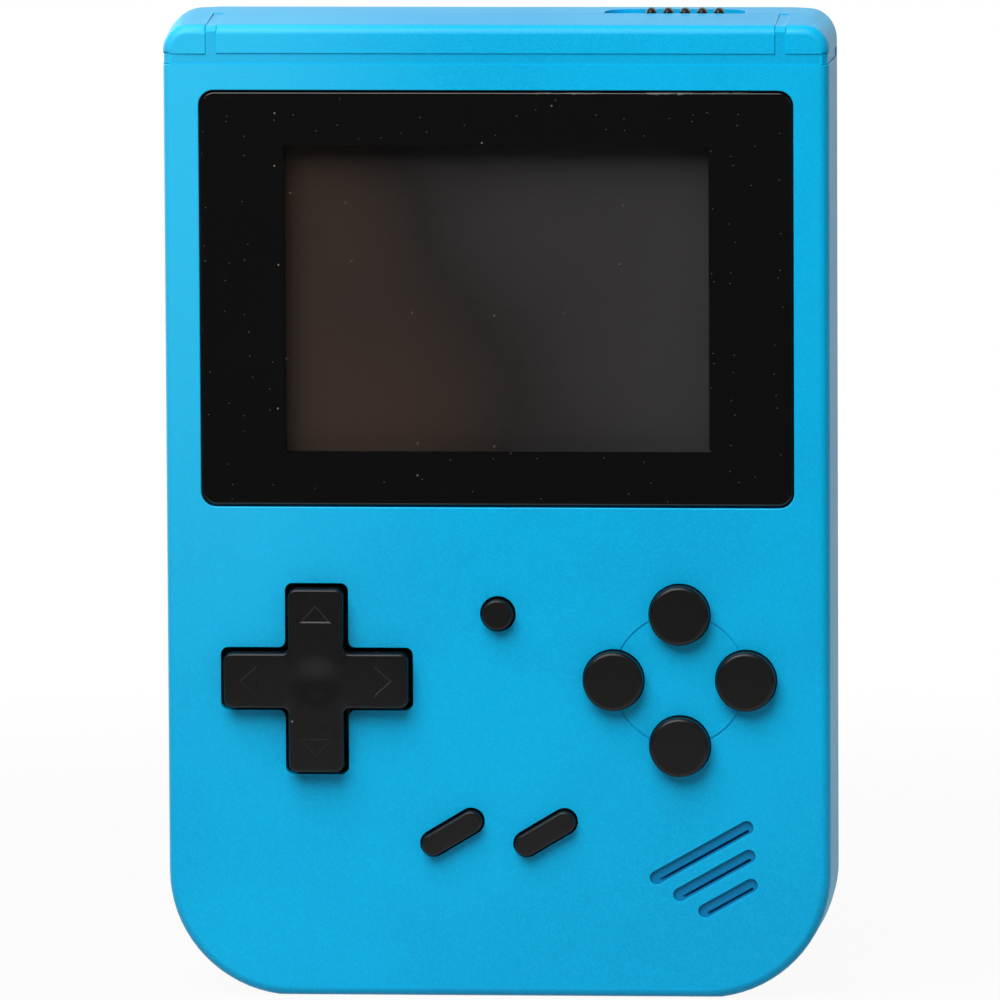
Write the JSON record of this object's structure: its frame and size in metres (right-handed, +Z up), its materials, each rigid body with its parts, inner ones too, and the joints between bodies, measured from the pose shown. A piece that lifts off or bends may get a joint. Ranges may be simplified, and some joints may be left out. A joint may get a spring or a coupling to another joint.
{
  "type": "handheld game console",
  "caption": "Upright handheld game console in a two-part shell with a wide screen, a cross pad, round and pill keys, a slide switch and a hinged battery door.",
  "frame": {"origin": "on the flat bottom edge that the console stands on, mid width, at the seam between the front and rear shells", "axes": "+X to the right seen from the front, +Y from the screen to the back, +Z up"},
  "size_m": [0.079, 0.0239, 0.1162],
  "materials": {
    "case_blue": "fine even texture",
    "lens": "gloss",
    "tape": "matt",
    "foam": "matt",
    "display_glass": "gloss",
    "white_plastic": "satin",
    "flex_film": "satin film",
    "board_green": "solder mask",
    "chip_black": "matt",
    "key_black": "satin",
    "key_rubber": "matt",
    "socket_steel": "plain",
    "speaker_steel": "satin",
    "battery_wrap": "film",
    "contact_brass": "plated",
    "screw_steel": "zinc"
  },
  "bodies": {
    "console": {"front_shell": "case_blue", "rear_shell": "case_blue", "screen_lens": "lens", "lens_tape": "tape", "display_gasket": "foam", "display_panel": "display_glass", "display_backlight": "white_plastic", "display_tape": "tape", "display_flex": "flex_film", "main_board": "board_green", "processor": "chip_black", "board_chips": "chip_black", "face_button_sheet": "key_rubber", "centre_button_sheet": "key_rubber", "power_switch_body": "socket_steel", "charging_socket": "socket_steel", "charging_socket_tongue": "chip_black", "av_jack": "chip_black", "speaker_gasket": "foam", "speaker": "speaker_steel", "battery": "battery_wrap", "terminal_block": "chip_black", "battery_terminals": "contact_brass", "case_screws": "screw_steel", "board_screws": "screw_steel"},
    "direction_pad_seat": {"direction_pad_sheet": "key_rubber"},
    "direction_pad": {"direction_pad": "key_black"},
    "face_button_top": {"face_button_top": "key_black"},
    "face_button_bottom": {"face_button_bottom": "key_black"},
    "face_button_left": {"face_button_left": "key_black"},
    "face_button_right": {"face_button_right": "key_black"},
    "reset_button": {"reset_button": "key_black"},
    "sound_button": {"sound_button": "key_black"},
    "start_button": {"start_button": "key_black"},
    "power_switch": {"power_switch_knob": "key_black", "power_switch_lever": "chip_black"},
    "battery_door": {"battery_door": "case_blue"}
  },
  "joints": [
    {"name": "direction_pad_up_down", "type": "hinge", "parent": "console", "child": "direction_pad_seat", "pos_m": [-0.0214, -0.00592, 0.0378], "axis": [1, 0, 0], "range_deg": [-4, 4], "stiffness_Nm_per_rad": 0.12, "deforming": ["direction_pad_sheet"]},
    {"name": "direction_pad_left_right", "type": "hinge", "parent": "direction_pad_seat", "child": "direction_pad", "pos_m": [-0.0214, -0.00592, 0.0378], "axis": [0, 0, 1], "range_deg": [-4, 4], "stiffness_Nm_per_rad": 0.12, "deforming": ["direction_pad_sheet"]},
    {"name": "face_button_top_press", "type": "slide", "parent": "console", "child": "face_button_top", "axis": [0, 1, 0], "range_m": [0, 0.0011], "stiffness_N_per_m": 400, "deforming": ["face_button_sheet"]},
    {"name": "face_button_bottom_press", "type": "slide", "parent": "console", "child": "face_button_bottom", "axis": [0, 1, 0], "range_m": [0, 0.0011], "stiffness_N_per_m": 400, "deforming": ["face_button_sheet"]},
    {"name": "face_button_left_press", "type": "slide", "parent": "console", "child": "face_button_left", "axis": [0, 1, 0], "range_m": [0, 0.0011], "stiffness_N_per_m": 400, "deforming": ["face_button_sheet"]},
    {"name": "face_button_right_press", "type": "slide", "parent": "console", "child": "face_button_right", "axis": [0, 1, 0], "range_m": [0, 0.0011], "stiffness_N_per_m": 400, "deforming": ["face_button_sheet"]},
    {"name": "reset_button_press", "type": "slide", "parent": "console", "child": "reset_button", "axis": [0, 1, 0], "range_m": [0, 0.0011], "stiffness_N_per_m": 400, "deforming": ["centre_button_sheet"]},
    {"name": "sound_button_press", "type": "slide", "parent": "console", "child": "sound_button", "axis": [0, 1, 0], "range_m": [0, 0.0011], "stiffness_N_per_m": 400, "deforming": ["centre_button_sheet"]},
    {"name": "start_button_press", "type": "slide", "parent": "console", "child": "start_button", "axis": [0, 1, 0], "range_m": [0, 0.0011], "stiffness_N_per_m": 400, "deforming": ["centre_button_sheet"]},
    {"name": "power_switch_slide", "type": "slide", "parent": "console", "child": "power_switch", "axis": [-1, 0, 0], "range_m": [0, 0.0025]},
    {"name": "battery_door_swing", "type": "hinge", "parent": "console", "child": "battery_door", "pos_m": [0, 0.0105, 0.0262], "axis": [-1, 0, 0], "range_deg": [0, 70]}
  ]
}
